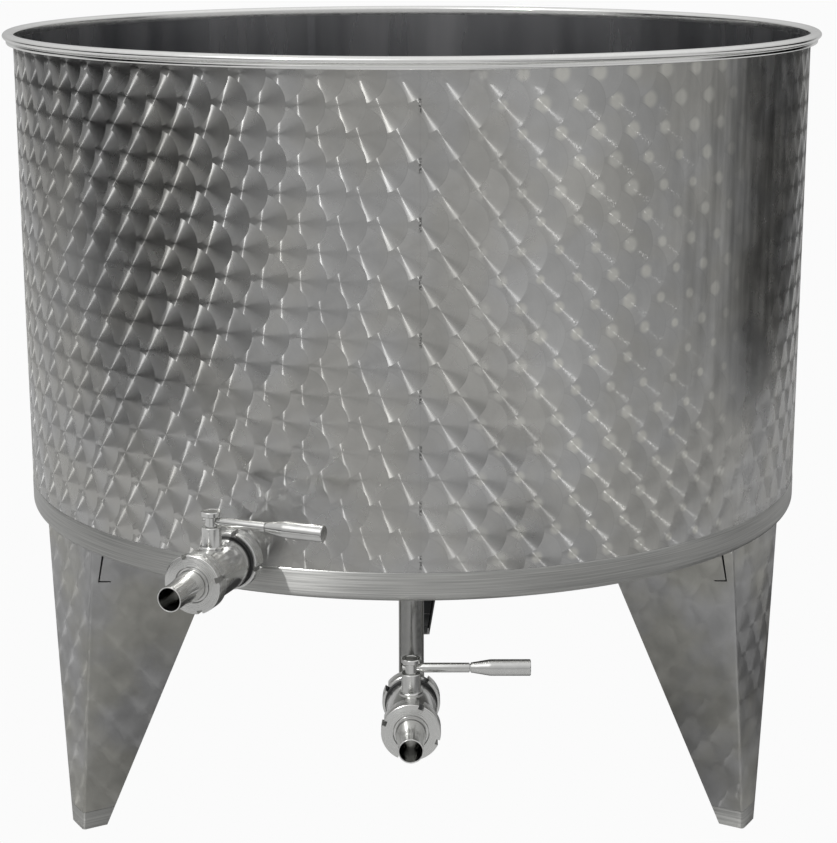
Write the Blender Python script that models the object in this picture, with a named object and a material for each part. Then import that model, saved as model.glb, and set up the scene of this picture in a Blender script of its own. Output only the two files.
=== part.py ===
# Open-topped vertical storage tank on three folded legs, with a side outlet and a bottom drain.
# Metres, +Z up. The floor is z = 0 and the origin lies under the middle of the whole outline.

import math

import bmesh
import bpy
from mathutils import Matrix, Vector

# Driving dimensions of the tank. The bottom's upright band shows under the shell.
SHELL_RADIUS = 0.500
SHEET = 0.0015
BAND_RADIUS = 0.5005
BAND_TOP = 0.418
BOTTOM_Z = 0.3838
CORNER_RADIUS = 0.008
CORNER_STEPS = 3
RIM_Z = 0.977
BEAD_RADIUS = 0.0072
BEAD_REACH = 0.0131
BEAD_STEPS = 7
RING_STEPS = 72
GAP = 0.0003

# Driving dimensions of the legs. The slopes say how each leg widens and deepens with height.
LEG_ANGLES = {"leg_left": -60.0, "leg_right": 60.0, "leg_rear": 179.4}
LEG_RADIUS = 0.493
LEG_SHEET = 0.002
FOOT_HALF_WIDTH = 0.0195
WIDTH_SLOPE = 0.1425
FOOT_INNER_RADIUS = 0.4605
DEPTH_SLOPE = 0.408
LEG_LEVELS = 5
WEB_STEPS = 6
SHOE_HEIGHT = 0.024
SOLE_THICKNESS = 0.003
SLIT_RADIUS = 0.4765
SLIT_WIDTH = 0.002
SLIT_CORNER_Z = 0.3405
SLIT_LEVEL_HEIGHT = 0.0015
SLIT_LEVEL_LENGTH = 0.0165

# Driving dimensions of the valves. A valve lies along -Y, with its stem's axis through the origin.
TUBE_RADIUS = 0.0145
BORE_RADIUS = 0.0125
BODY_RADIUS = 0.0285
SPIGOT_RADIUS = 0.0255
SPIGOT_INSET = 0.0085
COLLAR_RADIUS = 0.0193
GASKET_RADIUS = 0.0298
GASKET_WIDTH = 0.0039
NUT_RADIUS = 0.0328
NUT_WIDTH = 0.018
NUT_WALL = 0.005
NUT_CHAMFER = 0.0012
SLOT_COUNT = 4
SLOT_WIDTH = 0.006
SLOT_DEPTH = 0.0042
FRONT_NUT = 0.0305
REAR_NUT = -0.0586
TAIL_RADIUS = 0.0138
TAIL_TAPER = 0.024
MOUTH = 0.1000
VALVE_STEPS = 24

# Driving dimensions of the ball, its stem and the lever.
BALL_RADIUS = 0.0195
STEM_RADIUS = 0.005
NECK_RADIUS = 0.0108
NECK_TOP = 0.0515
HUB_RADIUS = 0.0066
CAP_RADIUS = 0.0107
CAP_BASE = 0.0632
STEM_TOP = 0.069
LEVER_HEIGHT = 0.0576
ROD_RADIUS = 0.0054
ROD_TIP_RADIUS = 0.0025
ROD_TIP = -0.0100
GRIP_START = 0.0648
GRIP_FULL = 0.088
GRIP_RADIUS = 0.0092
GRIP_END = 0.1326

# Places of the valves.
SIDE_ANGLE = -21.5
SIDE_HEIGHT = 0.4356
SIDE_STEM = 0.589
SIDE_SLOTS = {"front_nut": -16.0, "rear_nut": 10.0}
DRAIN_X = -0.0012
DRAIN_HEIGHT = 0.2583
DRAIN_STEM = 0.5235
DRAIN_PIPE = 0.415
DRAIN_SLOTS = {"front_nut": 21.0, "rear_nut": 32.0}
ELBOW_RADIUS = 0.038
ELBOW_STEPS = 8

# The tank's axis stands back from the origin, so that the side outlet's mouth and the rear rim balance.
SIDE_COS = math.cos(math.radians(SIDE_ANGLE))
SIDE_SIN = math.sin(math.radians(SIDE_ANGLE))
FRONT_REACH = (SIDE_STEM + MOUTH) * SIDE_COS + TAIL_RADIUS * abs(SIDE_SIN)
AXIS_Y = (FRONT_REACH - SHELL_RADIUS - BEAD_REACH) / 2.0


def clear_scene():
    for old in list(bpy.data.objects):
        bpy.data.objects.remove(old, do_unlink=True)


def make_material(name, colour, roughness, metallic):
    material = bpy.data.materials.new(name)
    material.use_nodes = True
    shader = material.node_tree.nodes["Principled BSDF"]
    shader.inputs["Base Color"].default_value = (*colour, 1.0)
    shader.inputs["Roughness"].default_value = roughness
    shader.inputs["Metallic"].default_value = metallic
    return material


def add_empty(name, location, angle, parent=None):
    empty = bpy.data.objects.new(name, None)
    bpy.context.collection.objects.link(empty)
    empty.location = location
    empty.rotation_euler.z = math.radians(angle)
    empty.parent = parent
    return empty


def add_object(name, shape, material, parent):
    bmesh.ops.remove_doubles(shape, verts=shape.verts, dist=1e-6)
    bmesh.ops.recalc_face_normals(shape, faces=shape.faces)
    mesh = bpy.data.meshes.new(name)
    shape.to_mesh(mesh)
    shape.free()
    mesh.shade_smooth()
    mesh.set_sharp_from_angle(angle=math.radians(30.0))
    obj = bpy.data.objects.new(name, mesh)
    bpy.context.collection.objects.link(obj)
    obj.parent = parent
    if material:
        obj.data.materials.append(material)
    return obj


def add_cutter(name, shape, parent):
    cutter = add_object(name, shape, None, parent)
    cutter.hide_render = True
    cutter.display_type = "WIRE"
    return cutter


def boolean(obj, cutter, operation="DIFFERENCE"):
    modifier = obj.modifiers.new(cutter.name, "BOOLEAN")
    modifier.object = cutter
    modifier.operation = operation
    modifier.solver = "EXACT"


# Spins a closed outline of (radius, distance along the axis) points round Z, -Y or X.
def turn(profile, axis, steps):
    along = {"Z": Vector((0, 0, 1)), "-Y": Vector((0, -1, 0)), "X": Vector((1, 0, 0))}[axis]
    across = {"Z": Vector((1, 0, 0)), "-Y": Vector((0, 0, 1)), "X": Vector((0, 0, 1))}[axis]
    shape = bmesh.new()
    points = [shape.verts.new(across * radius + along * distance) for radius, distance in profile]
    edges = [shape.edges.new((points[i - 1], points[i])) for i in range(len(points))]
    bmesh.ops.spin(
        shape, geom=points + edges, cent=(0, 0, 0), axis=along, dvec=(0, 0, 0),
        angle=math.tau, steps=steps, use_merge=True, use_duplicate=False,
    )
    return shape


# Points of (radius, distance) round a centre, with angles in degrees from the radius.
def arc(centre_r, centre_d, radius, start, end, steps):
    points = []
    for i in range(steps + 1):
        angle = math.radians(start + (end - start) * i / steps)
        points.append((centre_r + radius * math.cos(angle), centre_d + radius * math.sin(angle)))
    return points


# A flat outline of 3-D points, thickened along a vector.
def extrude_outline(points, along):
    shape = bmesh.new()
    face = shape.faces.new([shape.verts.new(point) for point in points])
    raised = bmesh.ops.extrude_face_region(shape, geom=[face])["geom"]
    bmesh.ops.translate(shape, vec=along, verts=[v for v in raised if isinstance(v, bmesh.types.BMVert)])
    return shape


def block(low, high):
    shape = bmesh.new()
    size = Vector(high) - Vector(low)
    middle = (Vector(high) + Vector(low)) / 2.0
    bmesh.ops.create_cube(shape, size=1.0, matrix=Matrix.Translation(middle) @ Matrix.Diagonal((*size, 1.0)))
    return shape


def rod_between(start, end, radius, steps):
    start = Vector(start)
    end = Vector(end)
    along = end - start
    turn_to = along.to_track_quat("Z", "Y").to_matrix().to_4x4()
    shape = bmesh.new()
    bmesh.ops.create_cone(
        shape, cap_ends=True, segments=steps, radius1=radius, radius2=radius, depth=along.length,
        matrix=Matrix.Translation((start + end) / 2.0) @ turn_to,
    )
    return shape


def build_tank(axis, steel, smooth_steel):
    reach = 0.020
    bead_seat = RIM_Z - BEAD_RADIUS * math.sin(math.radians(45.0))
    shell = add_object("shell", turn([
        (SHELL_RADIUS, BAND_TOP + GAP), (SHELL_RADIUS, bead_seat - GAP),
        (SHELL_RADIUS - SHEET, bead_seat - GAP), (SHELL_RADIUS - SHEET, BAND_TOP + GAP),
    ], "Z", RING_STEPS), steel, axis)
    outward = Vector((SIDE_SIN, -SIDE_COS, 0.0))
    middle = outward * SHELL_RADIUS + Vector((0, 0, SIDE_HEIGHT))
    boolean(shell, add_cutter("side_hole_cutter", rod_between(
        middle - outward * reach, middle + outward * reach, BORE_RADIUS - 0.001, 16), axis))

    bead_centre = SHELL_RADIUS + BEAD_REACH - BEAD_RADIUS
    bead = arc(bead_centre, RIM_Z, BEAD_RADIUS, -135.0, 180.0, BEAD_STEPS)
    bead.append((bead_centre - BEAD_RADIUS, bead_seat))
    add_object("rim_bead", turn(bead, "Z", RING_STEPS), smooth_steel, axis)

    # The bottom: an upright band that turns in round a small corner, and the flat plate inside its lip.
    lip_radius = BAND_RADIUS - CORNER_RADIUS
    corner_z = BOTTOM_Z + CORNER_RADIUS
    outer = arc(lip_radius, corner_z, CORNER_RADIUS, 0.0, -90.0, CORNER_STEPS)
    inner = arc(lip_radius, corner_z, CORNER_RADIUS - SHEET, -90.0, 0.0, CORNER_STEPS)
    add_object("bottom_band", turn(
        [(BAND_RADIUS, BAND_TOP)] + outer + inner + [(BAND_RADIUS - SHEET, BAND_TOP)],
        "Z", RING_STEPS), smooth_steel, axis)
    plate = add_object("bottom_plate", turn([
        (0.0, BOTTOM_Z), (lip_radius - GAP, BOTTOM_Z), (lip_radius - GAP, BOTTOM_Z + SHEET),
        (0.0, BOTTOM_Z + SHEET),
    ], "Z", RING_STEPS), smooth_steel, axis)
    boolean(plate, add_cutter("drain_hole_cutter", rod_between(
        (DRAIN_X, -DRAIN_PIPE, BOTTOM_Z - reach), (DRAIN_X, -DRAIN_PIPE, BOTTOM_Z + reach),
        BORE_RADIUS, 16), axis))


# Points across a leg at one height: from the inner edge of one flange round the web to the other.
def leg_outline(offset, z):
    half = FOOT_HALF_WIDTH + WIDTH_SLOPE * z - offset
    radius = LEG_RADIUS - offset
    inner_radius = FOOT_INNER_RADIUS - DEPTH_SLOPE * z
    spread = math.asin(half / radius)
    points = [(-half, -inner_radius, z)]
    for i in range(WEB_STEPS + 1):
        angle = spread * (2.0 * i / WEB_STEPS - 1.0)
        points.append((radius * math.sin(angle), -radius * math.cos(angle), z))
    points.append((half, -inner_radius, z))
    return points


# A tapering channel: a web rolled to the tank's curve, with a flange folded in at each side.
def folded_channel(low, high, levels):
    shape = bmesh.new()
    rings = []
    for i in range(levels + 1):
        z = low + (high - low) * i / levels
        section = leg_outline(0.0, z) + leg_outline(LEG_SHEET, z)[::-1]
        rings.append([shape.verts.new(point) for point in section])
    count = len(rings[0])
    for lower, upper in zip(rings, rings[1:]):
        for i in range(count):
            j = (i + 1) % count
            shape.faces.new((lower[i], lower[j], upper[j], upper[i]))
    for ring in (rings[0], rings[-1]):
        for i in range(count // 2 - 1):
            shape.faces.new((ring[i], ring[i + 1], ring[count - 2 - i], ring[count - 1 - i]))
    return shape


# The L-shaped slit through a flange: upright from the leg's top, then level towards the axis.
def slit_shape(side):
    reach = 0.020
    top = BOTTOM_Z + 0.005
    x = side * (FOOT_HALF_WIDTH + WIDTH_SLOPE * SLIT_CORNER_Z)
    outer = SLIT_RADIUS + SLIT_WIDTH
    inner = outer - SLIT_LEVEL_LENGTH
    level_top = SLIT_CORNER_Z + SLIT_LEVEL_HEIGHT
    outline = [
        (outer, top), (outer, SLIT_CORNER_Z), (inner, SLIT_CORNER_Z), (inner, level_top),
        (SLIT_RADIUS, level_top), (SLIT_RADIUS, top),
    ]
    return extrude_outline([(x - reach, -radius, z) for radius, z in outline], (2.0 * reach, 0.0, 0.0))


def build_legs(axis, steel, smooth_steel):
    for name, angle in LEG_ANGLES.items():
        place = add_empty(name + "_place", (0, 0, 0), angle, axis)
        channel = folded_channel(SHOE_HEIGHT + GAP, BOTTOM_Z - GAP, LEG_LEVELS)
        leg = add_object(name, channel, steel, place)
        for label, side in (("left", -1.0), ("right", 1.0)):
            boolean(leg, add_cutter(f"{name}_{label}_slit_cutter", slit_shape(side), place))
        add_object(name + "_shoe", folded_channel(0.0, SHOE_HEIGHT, 1), smooth_steel, place)
        plate = extrude_outline(leg_outline(LEG_SHEET + GAP, 0.0), (0.0, 0.0, SOLE_THICKNESS))
        add_object(name + "_sole", plate, smooth_steel, place)


# A round nut, open at its start and closed by a thin wall round the collar at its end.
def union_nut():
    skirt = SPIGOT_RADIUS + GAP
    hole = COLLAR_RADIUS + GAP
    return turn([
        (skirt, 0.0), (NUT_RADIUS - NUT_CHAMFER, 0.0), (NUT_RADIUS, NUT_CHAMFER),
        (NUT_RADIUS, NUT_WIDTH - NUT_CHAMFER), (NUT_RADIUS - NUT_CHAMFER, NUT_WIDTH),
        (hole, NUT_WIDTH), (hole, NUT_WIDTH - NUT_WALL), (skirt, NUT_WIDTH - NUT_WALL),
    ], "-Y", VALVE_STEPS)


def add_nut(name, start, faces_tank, first_slot, steel, place):
    shape = union_nut()
    if faces_tank:
        bmesh.ops.rotate(shape, cent=(0, 0, 0), matrix=Matrix.Rotation(math.pi, 3, "Z"), verts=shape.verts)
        bmesh.ops.translate(shape, vec=(0, -start - NUT_WIDTH, 0), verts=shape.verts)
    else:
        bmesh.ops.translate(shape, vec=(0, -start, 0), verts=shape.verts)
    nut = add_object(name, shape, steel, place)
    for i in range(SLOT_COUNT):
        angle = math.radians(first_slot + 360.0 * i / SLOT_COUNT)
        tooth = block((NUT_RADIUS - SLOT_DEPTH, -start - NUT_WIDTH - 0.002, -SLOT_WIDTH / 2.0),
                      (NUT_RADIUS + SLOT_DEPTH, -start + 0.002, SLOT_WIDTH / 2.0))
        bmesh.ops.rotate(tooth, cent=(0, 0, 0), matrix=Matrix.Rotation(angle, 3, "Y"), verts=tooth.verts)
        boolean(nut, add_cutter(f"{name}_slot_{i}", tooth, place))


# One ball valve with a slotted union nut at each end, a gasket and a hose tail.
def build_valve(prefix, place, slots, steel, rubber):
    add_nut(prefix + "front_nut", FRONT_NUT, False, slots["front_nut"], steel, place)
    add_nut(prefix + "rear_nut", REAR_NUT, True, slots["rear_nut"], steel, place)

    # The body: a barrel with a threaded spigot at each end, round the ball, and a neck for the stem.
    gasket_rear = REAR_NUT + NUT_WIDTH + GAP
    shoulder = gasket_rear + GASKET_WIDTH + GAP
    spigot_front = FRONT_NUT + NUT_WIDTH - SPIGOT_INSET
    spigot_rear = REAR_NUT + SPIGOT_INSET
    chamber = BALL_RADIUS + GAP
    seat = math.degrees(math.acos(BORE_RADIUS / chamber))
    body = add_object(prefix + "valve_body", turn([
        (BORE_RADIUS, spigot_rear), (SPIGOT_RADIUS, spigot_rear), (SPIGOT_RADIUS, shoulder),
        (BODY_RADIUS, shoulder), (BODY_RADIUS, FRONT_NUT - GAP), (SPIGOT_RADIUS, FRONT_NUT - GAP),
        (SPIGOT_RADIUS, spigot_front), (BORE_RADIUS, spigot_front),
    ] + arc(0.0, 0.0, chamber, seat, -seat, 8), "-Y", VALVE_STEPS), steel, place)
    neck_base = BODY_RADIUS - 0.005
    hole = STEM_RADIUS + 0.0004
    boolean(body, add_cutter(prefix + "neck_cutter", turn([
        (hole, neck_base), (NECK_RADIUS, neck_base), (NECK_RADIUS, NECK_TOP), (hole, NECK_TOP),
    ], "Z", VALVE_STEPS), place), "UNION")
    boolean(body, add_cutter(prefix + "stem_hole_cutter", rod_between(
        (0, 0, BALL_RADIUS / 2.0), (0, 0, NECK_TOP + 0.005), hole, 16), place))

    add_object(prefix + "gasket", turn([
        (SPIGOT_RADIUS + GAP, gasket_rear), (GASKET_RADIUS, gasket_rear),
        (GASKET_RADIUS, gasket_rear + GASKET_WIDTH), (SPIGOT_RADIUS + GAP, gasket_rear + GASKET_WIDTH),
    ], "-Y", VALVE_STEPS), rubber, place)

    # The hose tail: a flange held inside the front nut, a collar through it, a cone and a pipe.
    face = FRONT_NUT + NUT_WIDTH
    held = face - NUT_WALL - GAP
    add_object(prefix + "tail", turn([
        (BORE_RADIUS, spigot_front + GAP), (SPIGOT_RADIUS - GAP, spigot_front + GAP),
        (SPIGOT_RADIUS - GAP, held), (COLLAR_RADIUS, held), (COLLAR_RADIUS, face - 0.0004),
        (0.0170, face), (0.0150, face + TAIL_TAPER - 0.004), (TAIL_RADIUS, face + TAIL_TAPER),
        (TAIL_RADIUS, MOUTH), (BORE_RADIUS, MOUTH),
    ], "-Y", VALVE_STEPS), steel, place)


# The pipe end that the rear nut draws in, from its flange back towards the tank.
def build_socket(prefix, start, steel, place):
    held = REAR_NUT + NUT_WALL + GAP
    seat = REAR_NUT + SPIGOT_INSET - GAP
    return add_object(prefix + "socket", turn([
        (BORE_RADIUS, start), (TUBE_RADIUS, start), (TUBE_RADIUS, REAR_NUT - 0.003),
        (COLLAR_RADIUS, REAR_NUT - 0.001), (COLLAR_RADIUS, held), (SPIGOT_RADIUS - GAP, held),
        (SPIGOT_RADIUS - GAP, seat), (BORE_RADIUS, seat),
    ], "-Y", VALVE_STEPS), steel, place)


# The ball, its stem and the lever, which turn together about the stem's axis.
def build_lever(prefix, pivot, steel):
    sphere = bmesh.new()
    bmesh.ops.create_uvsphere(sphere, u_segments=20, v_segments=12, radius=BALL_RADIUS)
    ball = add_object(prefix + "ball", sphere, steel, pivot)
    boolean(ball, add_cutter(prefix + "ball_bore_cutter", rod_between(
        (-1.5 * BALL_RADIUS, 0, 0), (1.5 * BALL_RADIUS, 0, 0), BORE_RADIUS - 0.0005, 20), pivot))

    edge = 0.0006
    stem = add_object(prefix + "stem", turn([
        (0.0, BALL_RADIUS + GAP), (STEM_RADIUS, BALL_RADIUS + GAP), (STEM_RADIUS, NECK_TOP + GAP),
        (HUB_RADIUS, NECK_TOP + GAP), (HUB_RADIUS, CAP_BASE), (CAP_RADIUS, CAP_BASE),
        (CAP_RADIUS, STEM_TOP - edge), (CAP_RADIUS - edge, STEM_TOP), (0.0, STEM_TOP),
    ], "Z", VALVE_STEPS), steel, pivot)
    boolean(stem, add_cutter(prefix + "lever_hole_cutter", rod_between(
        (-2.0 * HUB_RADIUS, 0, LEVER_HEIGHT), (2.0 * HUB_RADIUS, 0, LEVER_HEIGHT),
        ROD_TIP_RADIUS + GAP, 12), pivot))

    hub_side = HUB_RADIUS + GAP
    rod = turn([
        (0.0, ROD_TIP), (ROD_TIP_RADIUS - edge, ROD_TIP), (ROD_TIP_RADIUS, ROD_TIP + edge),
        (ROD_TIP_RADIUS, hub_side), (0.0035, hub_side), (ROD_RADIUS, 2.0 * HUB_RADIUS),
        (ROD_RADIUS, GRIP_START), (0.0, GRIP_START),
    ], "X", 16)
    grip = turn([
        (0.0, GRIP_START + GAP), (0.0046, GRIP_START + GAP), (0.0046, GRIP_START + 0.001),
        (0.0056, GRIP_START + 0.001), (GRIP_RADIUS, GRIP_FULL), (GRIP_RADIUS, GRIP_END - 0.001),
        (GRIP_RADIUS - 0.001, GRIP_END), (0.0, GRIP_END),
    ], "X", 20)
    for name, shape in (("lever_rod", rod), ("grip", grip)):
        bmesh.ops.translate(shape, vec=(0, 0, LEVER_HEIGHT), verts=shape.verts)
        add_object(prefix + name, shape, steel, pivot)


# A tube that drops from the bottom and turns forward into the drain valve's socket.
def build_drain_pipe(axis, steel):
    shape = bmesh.new()
    for radius in (TUBE_RADIUS, BORE_RADIUS):
        bmesh.ops.create_circle(
            shape, cap_ends=False, radius=radius, segments=VALVE_STEPS,
            matrix=Matrix.Translation((DRAIN_X, -DRAIN_PIPE, BOTTOM_Z - GAP)),
        )
    end = bmesh.ops.bridge_loops(shape, edges=shape.edges[:])["faces"]
    end = bmesh.ops.extrude_face_region(shape, geom=end)["geom"]
    elbow_z = DRAIN_HEIGHT + ELBOW_RADIUS
    drop = (0, 0, elbow_z - BOTTOM_Z + GAP)
    bmesh.ops.translate(shape, vec=drop, verts=[v for v in end if isinstance(v, bmesh.types.BMVert)])
    bmesh.ops.spin(
        shape, geom=end, cent=(0, -DRAIN_PIPE - ELBOW_RADIUS, elbow_z), axis=(-1, 0, 0), dvec=(0, 0, 0),
        angle=math.radians(90.0), steps=ELBOW_STEPS, use_duplicate=False,
    )
    add_object("drain_pipe", shape, steel, axis)


def main():
    clear_scene()
    marbled = make_material("marbled_stainless", (0.52, 0.52, 0.50), 0.30, 1.0)
    brushed = make_material("brushed_stainless", (0.60, 0.60, 0.58), 0.25, 1.0)
    turned = make_material("turned_stainless", (0.62, 0.62, 0.61), 0.22, 1.0)
    polished = make_material("polished_stainless", (0.66, 0.66, 0.65), 0.15, 1.0)
    rubber = make_material("black_rubber", (0.02, 0.02, 0.02), 0.60, 0.0)

    axis = add_empty("tank_axis", (0, AXIS_Y, 0), 0.0)
    build_tank(axis, marbled, brushed)
    build_legs(axis, marbled, brushed)
    build_drain_pipe(axis, polished)

    side_place = add_empty(
        "side_valve_place", (SIDE_STEM * SIDE_SIN, -SIDE_STEM * SIDE_COS, SIDE_HEIGHT), SIDE_ANGLE, axis)
    drain_place = add_empty("drain_valve_place", (DRAIN_X, -DRAIN_STEM, DRAIN_HEIGHT), 0.0, axis)

    # The side socket starts inside the wall and is then trimmed to the shell's curve.
    side_socket = build_socket("side_", SHELL_RADIUS - 0.003 - SIDE_STEM, turned, side_place)
    boolean(side_socket, add_cutter("tank_envelope_cutter", turn([
        (0.0, SIDE_HEIGHT - 0.03), (SHELL_RADIUS + GAP, SIDE_HEIGHT - 0.03),
        (SHELL_RADIUS + GAP, SIDE_HEIGHT + 0.03), (0.0, SIDE_HEIGHT + 0.03),
    ], "Z", RING_STEPS), axis))
    build_socket("drain_", DRAIN_PIPE + ELBOW_RADIUS + GAP - DRAIN_STEM, turned, drain_place)

    for prefix, place, slots in (("side_", side_place, SIDE_SLOTS), ("drain_", drain_place, DRAIN_SLOTS)):
        build_valve(prefix, place, slots, turned, rubber)
        build_lever(prefix, add_empty(prefix + "lever_pivot", (0, 0, 0), 0.0, place), polished)


main()
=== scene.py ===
import math

import bmesh
import bpy
from mathutils import Matrix, Vector


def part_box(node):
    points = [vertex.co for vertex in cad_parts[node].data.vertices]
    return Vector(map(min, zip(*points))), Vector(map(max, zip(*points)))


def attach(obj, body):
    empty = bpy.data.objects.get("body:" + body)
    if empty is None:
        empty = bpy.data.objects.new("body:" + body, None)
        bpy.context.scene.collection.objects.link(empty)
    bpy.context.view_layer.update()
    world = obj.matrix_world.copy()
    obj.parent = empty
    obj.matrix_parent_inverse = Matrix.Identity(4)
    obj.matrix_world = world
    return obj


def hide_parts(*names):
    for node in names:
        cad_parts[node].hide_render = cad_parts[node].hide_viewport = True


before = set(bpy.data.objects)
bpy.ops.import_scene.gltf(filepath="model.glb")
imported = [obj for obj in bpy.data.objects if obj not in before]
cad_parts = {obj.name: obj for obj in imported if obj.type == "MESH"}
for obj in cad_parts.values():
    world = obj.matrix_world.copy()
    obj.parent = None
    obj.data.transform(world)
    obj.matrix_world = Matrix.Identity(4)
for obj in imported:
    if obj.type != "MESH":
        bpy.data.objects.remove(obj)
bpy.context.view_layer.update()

wallLow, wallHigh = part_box("shell")
tankAxisY = (wallLow[1] + wallHigh[1]) / 2.0


# An sRGB hex colour as the linear numbers that a socket takes.
def hexColour(text):
    parts = [int(text[i:i + 2], 16) / 255.0 for i in (1, 3, 5)]
    return tuple(c / 12.92 if c <= 0.04045 else ((c + 0.055) / 1.055) ** 2.4 for c in parts) + (1.0,)


# Fills a node's sockets. A value is a number, a colour, a socket, or a node, which stands for its first output.
def setInputs(tree, node, inputs):
    for key, value in inputs.items():
        if isinstance(value, bpy.types.Node):
            value = value.outputs[0]
        if isinstance(value, bpy.types.NodeSocket):
            tree.links.new(value, node.inputs[key])
        else:
            node.inputs[key].default_value = value


# Adds a shader node. Noise keeps between about 0.3 and 0.7, so a range that reads one mostly starts and
# ends there.
def addNode(tree, kind, inputs, **settings):
    node = tree.nodes.new("ShaderNode" + kind)
    for name, value in settings.items():
        setattr(node, name, value)
    setInputs(tree, node, inputs)
    return node


def newMaterial(name):
    material = bpy.data.materials.new(name)
    material.use_nodes = True
    tree = material.node_tree
    return material, tree, tree.nodes["Principled BSDF"]


# A closed outline of (radius, distance along the axis) points, spun round Z, -Y or X.
def spinOutline(outline, axis, steps):
    along = {"Z": Vector((0, 0, 1)), "-Y": Vector((0, -1, 0)), "X": Vector((1, 0, 0))}[axis]
    across = {"Z": Vector((1, 0, 0)), "-Y": Vector((0, 0, 1)), "X": Vector((0, 0, 1))}[axis]
    bm = bmesh.new()
    points = [bm.verts.new(across * radius + along * distance) for radius, distance in outline]
    edges = [bm.edges.new((points[i - 1], points[i])) for i in range(len(points))]
    bmesh.ops.spin(bm, geom=points + edges, cent=(0, 0, 0), axis=along, dvec=(0, 0, 0),
                   angle=math.tau, steps=steps, use_merge=True, use_duplicate=False)
    mergeAndFaceOut(bm)
    return bm


def mergeAndFaceOut(bm):
    bmesh.ops.remove_doubles(bm, verts=bm.verts, dist=1e-6)
    bmesh.ops.recalc_face_normals(bm, faces=bm.faces)


sharpAngle = 32.0  # degrees between faces, past which an edge reads as sharp


# Rounds every sharp edge that lies beyond a radius from the axis Y.
def softenEdges(bm, width, segments=2, beyond=0.0):
    sharp = [e for e in bm.edges if len(e.link_faces) == 2 and e.calc_face_angle() > math.radians(sharpAngle)
             and math.hypot(e.verts[0].co.x, e.verts[0].co.z) > beyond]
    bmesh.ops.bevel(bm, geom=sharp, offset=width, offset_type="OFFSET", affect="EDGES",
                    segments=segments, profile=0.5, material=-1, clamp_overlap=True)


# Points round a centre, as (radius, distance along the axis), with angles in degrees from the radius.
def arc(centreR, centreD, radiusR, radiusD, start, end, steps):
    points = []
    for i in range(steps + 1):
        angle = math.radians(start + (end - start) * i / steps)
        points.append((centreR + radiusR * math.cos(angle), centreD + radiusD * math.sin(angle)))
    return points


cutterReach = 0.02  # how far a cutter stands out on both sides of a sheet


# A plain rod between two points, for bores and holes.
def rodBetween(start, end, radius, steps):
    start, end = Vector(start), Vector(end)
    turn = (end - start).to_track_quat("Z", "Y").to_matrix().to_4x4()
    bm = bmesh.new()
    bmesh.ops.create_cone(bm, cap_ends=True, segments=steps, radius1=radius, radius2=radius,
                          depth=(end - start).length, matrix=Matrix.Translation((start + end) / 2.0) @ turn)
    return bm


# A box between two corners.
def block(low, high):
    low, high = Vector(low), Vector(high)
    bm = bmesh.new()
    bmesh.ops.create_cube(bm, size=1.0, matrix=Matrix.Translation((low + high) / 2.0)
                          @ Matrix.Diagonal((*(high - low), 1.0)))
    return bm


def looseObject(name, bm, materials=()):
    mesh = bpy.data.meshes.new(name)
    bm.to_mesh(mesh)
    bm.free()
    for material in materials:
        mesh.materials.append(material)
    obj = bpy.data.objects.new(name, mesh)
    bpy.context.collection.objects.link(obj)
    return obj


# Cuts or joins shapes, and thickens an open sheet inwards first where a thickness is given.
def carve(bm, tools, materials, operation="DIFFERENCE", thickness=0.0):
    base = looseObject("base", bm, materials)
    if thickness:
        solid = base.modifiers.new("thickness", "SOLIDIFY")
        solid.thickness = thickness
        solid.offset = -1.0
        solid.use_even_offset = True
        solid.material_offset = 1
    cutters = []
    for tool in tools:
        cutters.append(looseObject("cutter", tool))
        cut = base.modifiers.new("cut", "BOOLEAN")
        cut.object = cutters[-1]
        cut.operation = operation
        cut.solver = "EXACT"
    ready = base.evaluated_get(bpy.context.evaluated_depsgraph_get())
    mesh = bpy.data.meshes.new_from_object(ready)
    result = bmesh.new()
    result.from_mesh(mesh)
    bpy.data.meshes.remove(mesh)
    for obj in [base] + cutters:
        data = obj.data
        bpy.data.objects.remove(obj, do_unlink=True)
        bpy.data.meshes.remove(data)
    return result


# Turns a shape into a piece that rides on a body and stands for CAD nodes.
def finishPiece(name, bm, materials, body, nodes, smoothAngle=sharpAngle):
    obj = looseObject(name, bm, materials)
    obj.data.shade_smooth()
    obj.data.set_sharp_from_angle(angle=math.radians(smoothAngle))
    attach(obj, body)
    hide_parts(*nodes)


# Unrolls a turned sheet: metres along it and metres up it, kept as the map sheetPlan.
def unrollRound(bm, radius):
    plan = bm.loops.layers.uv.new("sheetPlan")
    for face in bm.faces:
        middle = face.calc_center_median()
        base = math.atan2(middle.x, -middle.y)
        for loop in face.loops:
            at = loop.vert.co
            turn = math.atan2(at.x, -at.y) - base
            turn = (turn + math.pi) % math.tau - math.pi
            loop[plan].uv = (radius * (base + turn), at.z)


# The camera stands where the photograph was taken. The frame's longer side is its height.
cameraPlan = {"focalPixels": 2108.4, "frameHeight": 843.0, "pitch": 0.24543, "roll": -0.0014362,
              "sensor": 36.0, "place": (0.0074566, -2.7245, 1.1484)}
lens = bpy.data.cameras.new("camera")
lens.sensor_width = cameraPlan["sensor"]
lens.lens = cameraPlan["sensor"] * cameraPlan["focalPixels"] / cameraPlan["frameHeight"]
lens.clip_end = 60.0
camera = bpy.data.objects.new("camera", lens)
bpy.context.collection.objects.link(camera)
forward = Vector((0.0, math.cos(cameraPlan["pitch"]), -math.sin(cameraPlan["pitch"])))
sideways = Vector((1.0, 0.0, 0.0))
aim = Matrix((sideways, sideways.cross(forward), -forward)).transposed()
aim = aim @ Matrix.Rotation(cameraPlan["roll"], 3, "Z")
cameraX, cameraY, cameraZ = cameraPlan["place"]
camera.matrix_world = Matrix.Translation((cameraX, cameraY + tankAxisY, cameraZ)) @ aim.to_4x4()
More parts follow.
